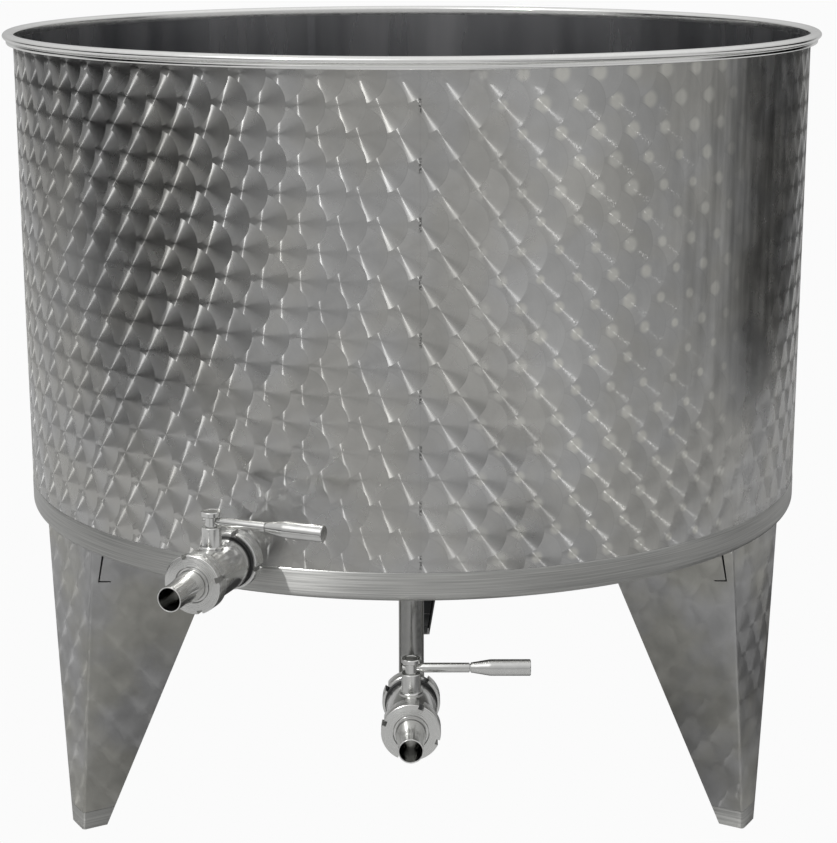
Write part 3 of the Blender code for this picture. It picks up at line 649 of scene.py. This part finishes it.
def buildWall():
    t = tank
    wallTop = rim["height"] - rim["bead"] * math.sin(math.radians(rim["seat"])) - t["gap"]
    outer, inner, foot = t["radius"], t["radius"] - t["sheet"], t["bandTop"] + t["gap"]
    bm = spinOutline([(outer, foot), (outer, wallTop), (inner, wallTop), (inner, foot)], "Z", t["steps"])
    for face in bm.faces:
        middle = face.calc_center_median()
        outward = Vector((middle.x, middle.y, 0.0)).dot(face.normal) > 0.0
        face.material_index = 0 if outward and abs(face.normal.z) < 0.5 else 1
    unrollRound(bm, t["radius"])
    out = direction(sideValve["azimuth"], 0.0)
    middle = out * t["radius"] + Vector((0.0, 0.0, sideValve["height"]))
    hole = rodBetween(middle - out * cutterReach, middle + out * cutterReach, t["outletHole"], 32)
    bm = carve(bm, [hole], [marbled, rolled])
    toTank(bm)
    finishPiece("tankWall", bm, [marbled, rolled], "tank", ["shell"])


# The rim: the sheet's edge rolled outwards over a bead, with its turned-in lip under it.
def buildRim():
    middle, height, halfWidth, halfHeight, last = rim["roll"]
    roll = arc(middle, height, halfWidth, halfHeight, 180.0, last, 22)
    bm = spinOutline(roll + rim["lip"], "Z", tank["steps"])
    toTank(bm)
    finishPiece("rimBead", bm, [rimHighlightSteel], "tank", ["rim_bead"], 50.0)


# The bottom: a smooth upright band that turns in round a small corner to the flat plate.
def buildBottom():
    t = tank
    lip, turnZ = t["bandRadius"] - t["corner"], t["bottom"] + t["corner"]
    outer = arc(lip, turnZ, t["corner"], t["corner"], 0.0, -90.0, 10)
    inner = arc(lip, turnZ, t["corner"] - t["sheet"], t["corner"] - t["sheet"], -90.0, 0.0, 10)
    inset, drop = t["bandEase"]
    eased = arc(t["bandRadius"] - inset, t["bandTop"] - drop, inset, drop, 90.0, 0.0, 6)
    bm = spinOutline(eased + outer + [(0.0, t["bottom"]), (0.0, t["bottom"] + t["sheet"])]
                     + inner + [(t["bandRadius"] - t["sheet"], t["bandTop"])], "Z", t["steps"])
    hole = rodBetween((drainValve["x"], -drainValve["pipe"], t["bottom"] - cutterReach),
                      (drainValve["x"], -drainValve["pipe"], t["bottom"] + cutterReach), valve["bore"], 48)
    bm = carve(bm, [hole], [brushed])
    toTank(bm)
    finishPiece("bottomHead", bm, [brushed], "tank", ["bottom_band", "bottom_plate"])


# A leg widens and deepens by these metres for each metre up. Its slits lean back and drop a little.
legs = {"angles": {"left": -60.0, "right": 60.0, "rear": 179.4}, "radius": 0.493, "sheet": 0.002,
        "footHalf": 0.0195, "widen": 0.1425, "footInner": 0.4605, "deepen": 0.408, "shoe": 0.024, "fold": 0.0035,
        "webSteps": 12, "foldSteps": 6, "flangeSteps": 8, "levels": 12,
        "slitRadius": 0.4765, "slitWidth": 0.002, "slitCorner": 0.3405, "slitLevel": 0.0015, "slitLength": 0.0165,
        "slitLean": 0.0058, "slitDrop": 0.0025, "slitFlare": 0.001, "slitTop": 0.005, "slitReach": 0.012,
        "sheetPlace": 0.70}  # where on the marbling a leg's middle lies


# Points across a leg at one height, outside only, each with its distance along the sheet from the middle.
def legLine(z):
    half = legs["footHalf"] + legs["widen"] * z
    inner = legs["footInner"] - legs["deepen"] * z
    radius, fold = legs["radius"], legs["fold"]
    spread = math.asin((half - fold) / radius)
    right = []
    for i in range(1, legs["webSteps"] + 1):
        angle = spread * i / legs["webSteps"]
        right.append((radius * math.sin(angle), -radius * math.cos(angle)))
    edgeY = right[-1][1]
    for i in range(1, legs["foldSteps"] + 1):
        angle = (math.pi / 2.0 - spread) * i / legs["foldSteps"] + spread
        right.append((half - fold + fold * (math.sin(angle) - math.sin(spread)) / (1.0 - math.sin(spread)),
                      edgeY + fold * (math.cos(spread) - math.cos(angle))))
    start = right[-1][1]
    for i in range(1, legs["flangeSteps"] + 1):
        right.append((half, start + (-inner - start) * i / legs["flangeSteps"]))
    line = [(0.0, -radius, 0.0)]
    for x, y in right:
        lastX, lastY, run = line[-1]
        line.append((x, y, run + math.hypot(x - lastX, y - lastY)))
    mirrored = [(-x, y, -run) for x, y, run in reversed(line[1:])]
    return [(x, y, run - legs["sheetPlace"]) for x, y, run in mirrored + line]


# The leg's outside as an open sheet with its map, facing out.
def foldedSheet(low, high, levels):
    bm = bmesh.new()
    plan = bm.loops.layers.uv.new("sheetPlan")
    spots, chains = {}, []
    for i in range(levels + 1):
        z = low + (high - low) * i / levels
        points = [(bm.verts.new((x, y, z)), run) for x, y, run in legLine(z)]
        for vert, run in points:
            spots[vert] = (run, z)
        chains.append([bm.edges.new((a[0], b[0])) for a, b in zip(points, points[1:])])
    for lower, upper in zip(chains, chains[1:]):
        bmesh.ops.bridge_loops(bm, edges=lower + upper)
    bmesh.ops.recalc_face_normals(bm, faces=bm.faces)
    front = max(bm.faces, key=lambda f: -f.calc_center_median().y)
    if front.normal.y > 0.0:
        bmesh.ops.reverse_faces(bm, faces=bm.faces)
    for face in bm.faces:
        for loop in face.loops:
            loop[plan].uv = spots[loop.vert]
    return bm


# The L-shaped slit through a flange: up to the leg's top, and level towards the tank's axis.
def slitCutter(side):
    reach, corner = legs["slitReach"], legs["slitCorner"]
    x = side * (legs["footHalf"] + legs["widen"] * corner) - reach
    top = tank["bottom"] + legs["slitTop"]
    outer, middle = legs["slitRadius"] + legs["slitWidth"], legs["slitRadius"]
    inner, level = outer - legs["slitLength"], corner + legs["slitLevel"]
    lean, drop = legs["slitLean"], legs["slitDrop"]
    outline = [(outer - lean, top), (outer, corner), (inner, corner - drop), (inner, level - drop),
               (middle, level), (middle - lean - legs["slitFlare"], top)]
    bm = bmesh.new()
    face = bm.faces.new([bm.verts.new((x, -r, z)) for r, z in outline])
    raised = bmesh.ops.extrude_face_region(bm, geom=[face])["geom"]
    bmesh.ops.translate(bm, vec=(2.0 * reach, 0.0, 0.0),
                        verts=[v for v in raised if isinstance(v, bmesh.types.BMVert)])
    bmesh.ops.recalc_face_normals(bm, faces=bm.faces)
    return bm


def buildLegs():
    for name, angle in legs["angles"].items():
        place = Matrix.Translation((0.0, tankAxisY, 0.0)) @ Matrix.Rotation(math.radians(angle), 4, "Z")
        low, high = legs["shoe"] + tank["gap"], tank["bottom"] - tank["gap"]
        # The insides of each leg and its shoe take the dark sheet as painted shade.
        bm = carve(foldedSheet(low, high, legs["levels"]), [slitCutter(-1.0), slitCutter(1.0)], [legMarbled, paintedShadeSteel],
                   thickness=legs["sheet"])
        bmesh.ops.transform(bm, matrix=place, verts=bm.verts)
        finishPiece("leg_" + name, bm, [legMarbled, paintedShadeSteel], "tank", ["leg_" + name])
        bm = carve(foldedSheet(0.0, legs["shoe"], 1), [], [brushed, paintedShadeSteel], thickness=legs["sheet"])
        bmesh.ops.transform(bm, matrix=place, verts=bm.verts)
        finishPiece("shoe_" + name, bm, [brushed, paintedShadeSteel], "tank", ["leg_" + name + "_shoe"])
        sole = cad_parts["leg_" + name + "_sole"]
        sole.data.materials.clear()
        sole.data.materials.append(brushed)


# Round the pipe, as radii and as distances outwards from the stem's axis. The neck carries the stem.
valve = {"tube": 0.0145, "bore": 0.0125, "body": 0.0285, "spigot": 0.0255, "inset": 0.0085, "edge": 0.0006,
         "neck": 0.0108, "neckTop": 0.0515, "neckFillet": 0.0022, "neckLift": 0.0004, "neckFoot": 0.005,
         "stemHole": 0.0054, "gasketRadius": 0.0298, "gasketWidth": 0.0039, "gasketRound": 0.001,
         "nutRadius": 0.0328, "nutWidth": 0.018, "nutWall": 0.005, "nutRound": 0.0012, "groove": 0.0009,
         "slotWidth": 0.006, "slotDepth": 0.0042, "slotSkin": (0.0015, 0.0014), "frontNut": 0.0305,
         "rearNut": -0.0586, "collar": 0.0193, "collarSlope": (0.003, 0.001), "tail": 0.0138, "cone": 0.0174,
         "taper": 0.034, "coneEase": 0.4, "coneSteps": 16, "mouth": 0.1000, "tailEdge": 0.0003,
         "mouthEdge": 0.0002, "gap": 0.0003, "steps": 96}
# Outlines as radius and distance: up the stem with its hub and cap, and out along the rod and the grip.
lever = {"ball": 0.0195, "boreEase": 0.0005, "height": 0.0576, "tip": 0.0025, "tipEnd": -0.0100,
         "tipRound": 0.0008, "steps": 64,
         "stem": [(0.0, 0.0198), (0.0050, 0.0198), (0.0050, 0.0518), (0.0066, 0.0518), (0.0066, 0.0620),
                  (0.0074, 0.0628), (0.0099, 0.0632), (0.0107, 0.0640), (0.0107, 0.0681), (0.0099, 0.0690),
                  (0.0077, 0.0690), (0.0071, 0.0685), (0.0, 0.0685)],
         "rod": [(0.0025, 0.0069), (0.0035, 0.0069), (0.0054, 0.0132), (0.0054, 0.0644), (0.0050, 0.0648),
                 (0.0, 0.0648)],
         "grip": [(0.0, 0.0651), (0.0042, 0.0651), (0.0042, 0.0661), (0.0053, 0.0661), (0.0056, 0.0664),
                  (0.0088, 0.0855), (0.0091, 0.0872), (0.0092, 0.0890), (0.0092, 0.1318), (0.0084, 0.1326),
                  (0.0, 0.1326)]}


# Puts a piece of a valve in its place and finishes it.
def valvePiece(name, bm, place, material, body, nodes, smoothAngle=sharpAngle):
    bmesh.ops.transform(bm, matrix=place, verts=bm.verts)
    finishPiece(name, bm, [material], body, nodes, smoothAngle)


# A round union nut, with four slots across its outside for a hook spanner. slotSkin is how far inside the nut's
# surfaces the slots' own steel starts: milled grey on the side valve, and painted shade on the drain valve.
def buildNut(name, start, facesTank, firstSlot, place, materials, node):
    v = valve
    skirt, hole, width = v["spigot"] + v["gap"], v["collar"] + v["groove"], v["nutWidth"]
    bm = spinOutline([(skirt, 0.0), (v["nutRadius"], 0.0), (v["nutRadius"], width), (hole, width),
                      (hole, width - v["nutWall"]), (skirt, width - v["nutWall"])], "-Y", v["steps"])
    softenEdges(bm, v["nutRound"], 3, v["nutRadius"] - v["nutRound"])
    if facesTank:
        bmesh.ops.rotate(bm, cent=(0, 0, 0), matrix=Matrix.Rotation(math.pi, 3, "Z"), verts=bm.verts)
        start = start + width
    bmesh.ops.translate(bm, vec=(0.0, -start, 0.0), verts=bm.verts)
    middle = -start + (width / 2.0 if facesTank else -width / 2.0)
    teeth = []
    for i in range(4):
        tooth = block((v["nutRadius"] - v["slotDepth"], middle - width, -v["slotWidth"] / 2.0),
                      (v["nutRadius"] + v["slotDepth"], middle + width, v["slotWidth"] / 2.0))
        turn = Matrix.Rotation(math.radians(firstSlot + 90.0 * i), 3, "Y")
        bmesh.ops.rotate(tooth, cent=(0, 0, 0), matrix=turn, verts=tooth.verts)
        teeth.append(tooth)
    bm = carve(bm, teeth, materials)
    inside, outside = v["slotSkin"]
    for face in bm.faces:
        spot = face.calc_center_median()
        deep = v["spigot"] + inside < math.hypot(spot.x, spot.z) < v["nutRadius"] - outside
        if deep and abs(face.normal.y) < 0.5:
            face.material_index = 1
    bmesh.ops.transform(bm, matrix=place, verts=bm.verts)
    finishPiece(name, bm, materials, "tank", [node])


def buildValve(side, facts, at):
    material, matt = turned[side]
    v, place = valve, Matrix.Translation(at) @ Matrix.Rotation(math.radians(facts["azimuth"]), 4, "Z")
    gap, bore, spigot, collar, steps = v["gap"], v["bore"], v["spigot"], v["collar"], v["steps"]
    nut = [matt, slotSteel[side]]
    buildNut(side + "FrontNut", v["frontNut"], False, facts["slots"]["front"], place, nut, side + "_front_nut")
    buildNut(side + "RearNut", v["rearNut"], True, facts["slots"]["rear"], place, nut, side + "_rear_nut")

    # The body: a spool with a round chamber for the ball, and the stem's neck on top.
    gasketRear = v["rearNut"] + v["nutWidth"] + gap
    shoulder = gasketRear + v["gasketWidth"] + gap
    front, rear = v["frontNut"] + v["nutWidth"] - v["inset"], v["rearNut"] + v["inset"]
    chamber = lever["ball"] + gap
    seat = math.degrees(math.acos(bore / chamber))
    bm = spinOutline([(bore, rear), (spigot, rear), (spigot, shoulder), (v["body"], shoulder),
                      (v["body"], v["frontNut"] - gap), (spigot, v["frontNut"] - gap),
                      (spigot, front), (bore, front)]
                     + arc(0.0, 0.0, chamber, chamber, seat, -seat, 24), "-Y", steps)
    softenEdges(bm, v["edge"])
    foot, fillet, hole = v["body"] - v["neckFoot"], v["neckFillet"], v["stemHole"]
    flare, base = v["neck"] + fillet, v["body"] + v["neckLift"]
    neck = spinOutline([(hole, foot), (flare, foot), (flare, base)]
                       + arc(flare, base + fillet, fillet, fillet, -90.0, -180.0, 5)
                       + [(v["neck"], v["neckTop"] - v["edge"]), (v["neck"] - v["edge"], v["neckTop"]),
                          (hole, v["neckTop"])], "Z", steps)
    bm = carve(bm, [neck], [material], "UNION")
    stemHole = rodBetween((0, 0, lever["ball"] / 2.0), (0, 0, v["neckTop"] + v["neckFoot"]), hole, 32)
    bm = carve(bm, [stemHole], [material])
    valvePiece(side + "ValveBody", bm, place, material, "tank", [side + "_valve_body"])

    bm = spinOutline([(spigot + gap, gasketRear), (v["gasketRadius"], gasketRear),
                      (v["gasketRadius"], gasketRear + v["gasketWidth"]),
                      (spigot + gap, gasketRear + v["gasketWidth"])], "-Y", steps)
    softenEdges(bm, v["gasketRound"], 3)
    valvePiece(side + "Gasket", bm, place, rubber, "tank", [side + "_gasket"])

    # The tail that a hose goes over, from its collar in the front nut down a cone to the mouth.
    face = v["frontNut"] + v["nutWidth"]
    held = face - v["nutWall"] - gap
    cone = []
    for i in range(v["coneSteps"] + 1):
        t = i / v["coneSteps"]
        ease = (1.0 - v["coneEase"]) * t + v["coneEase"] * t * t * (3.0 - 2.0 * t)
        cone.append((v["cone"] + (v["tail"] - v["cone"]) * ease, face + v["taper"] * t))
    bm = spinOutline([(bore, front + gap), (spigot - gap, front + gap),
                      (spigot - gap, held), (collar, held), (collar, face - v["tailEdge"]),
                      (collar - v["tailEdge"], face)] + cone
                     + [(v["tail"], v["mouth"] - v["tailEdge"]), (v["tail"] - v["tailEdge"], v["mouth"]),
                        (bore + v["mouthEdge"], v["mouth"]), (bore, v["mouth"] - v["mouthEdge"])],
                     "-Y", steps)
    valvePiece(side + "Tail", bm, place, material, "tank", [side + "_tail"], 40.0)

    # The pipe end that the rear nut draws in, back to the wall or to the elbow.
    start = (tank["radius"] if side == "side" else drainValve["pipe"] + drainValve["elbow"]) + gap
    start, back = start - facts["stem"], v["rearNut"]
    foot, top = v["collarSlope"]
    bm = spinOutline([(bore, start), (v["tube"], start), (v["tube"], back - foot), (collar, back - top),
                      (collar, back + v["nutWall"] + gap),
                      (spigot - gap, back + v["nutWall"] + gap),
                      (spigot - gap, back + v["inset"] - gap),
                      (bore, back + v["inset"] - gap)], "-Y", steps)
    valvePiece(side + "Socket", bm, place, material, "tank", [side + "_socket"])
    buildLever(side, place)


# What turns with the lever: the ball with its bore across the pipe, the stem, the rod and the grip.
def buildLever(side, place):
    k, gap, body = lever, valve["gap"], side + "_lever"
    bm = bmesh.new()
    bmesh.ops.create_uvsphere(bm, u_segments=k["steps"], v_segments=k["steps"] // 2, radius=k["ball"])
    bore = rodBetween((-1.5 * k["ball"], 0, 0), (1.5 * k["ball"], 0, 0), valve["bore"] - k["boreEase"], k["steps"])
    bm = carve(bm, [bore], [polished])
    valvePiece(side + "Ball", bm, place, polished, body, [side + "_ball"])

    bm = spinOutline(k["stem"], "Z", k["steps"])
    hole = rodBetween((-cutterReach, 0, k["height"]), (cutterReach, 0, k["height"]), k["tip"] + gap, 32)
    bm = carve(bm, [hole], [polished])
    valvePiece(side + "Stem", bm, place, polished, body, [side + "_stem"])

    tip = arc(0.0, k["tipEnd"] + k["tipRound"], k["tip"], k["tipRound"], -60.0, 0.0, 4)
    rod = spinOutline([(0.0, k["tipEnd"])] + tip + k["rod"], "X", k["steps"])
    grip = spinOutline(k["grip"], "X", k["steps"])
    for name, bm, node in (("LeverRod", rod, "_lever_rod"), ("Grip", grip, "_grip")):
        bmesh.ops.translate(bm, vec=(0.0, 0.0, k["height"]), verts=bm.verts)
        valvePiece(side + name, bm, place, polished, body, [side + node], 25.0)


# The tube that drops from the bottom and turns forward into the drain valve's socket.
def buildDrainPipe():
    bm = bmesh.new()
    top, elbow = tank["bottom"] - tank["gap"], drainValve["height"] + drainValve["elbow"]
    for radius in (valve["tube"], valve["bore"]):
        bmesh.ops.create_circle(bm, cap_ends=False, radius=radius, segments=drainValve["pipeSteps"],
                                matrix=Matrix.Translation((drainValve["x"], -drainValve["pipe"], top)))
    end = bmesh.ops.bridge_loops(bm, edges=bm.edges[:])["faces"]
    end = bmesh.ops.extrude_face_region(bm, geom=end)["geom"]
    bmesh.ops.translate(bm, vec=(0, 0, elbow - top), verts=[v for v in end if isinstance(v, bmesh.types.BMVert)])
    bmesh.ops.spin(bm, geom=end, cent=(0, -drainValve["pipe"] - drainValve["elbow"], elbow), axis=(-1, 0, 0),
                   dvec=(0, 0, 0), angle=math.radians(90.0), steps=drainValve["elbowSteps"], use_duplicate=False)
    mergeAndFaceOut(bm)
    toTank(bm)
    finishPiece("drainPipe", bm, [tube], "tank", ["drain_pipe"])


buildWall()
buildRim()
buildBottom()
print("tank ready")
buildLegs()
print("legs ready")
buildValve("side", sideValve, sideAt)
buildValve("drain", drainValve, drainAt)
buildDrainPipe()
print("valves ready")
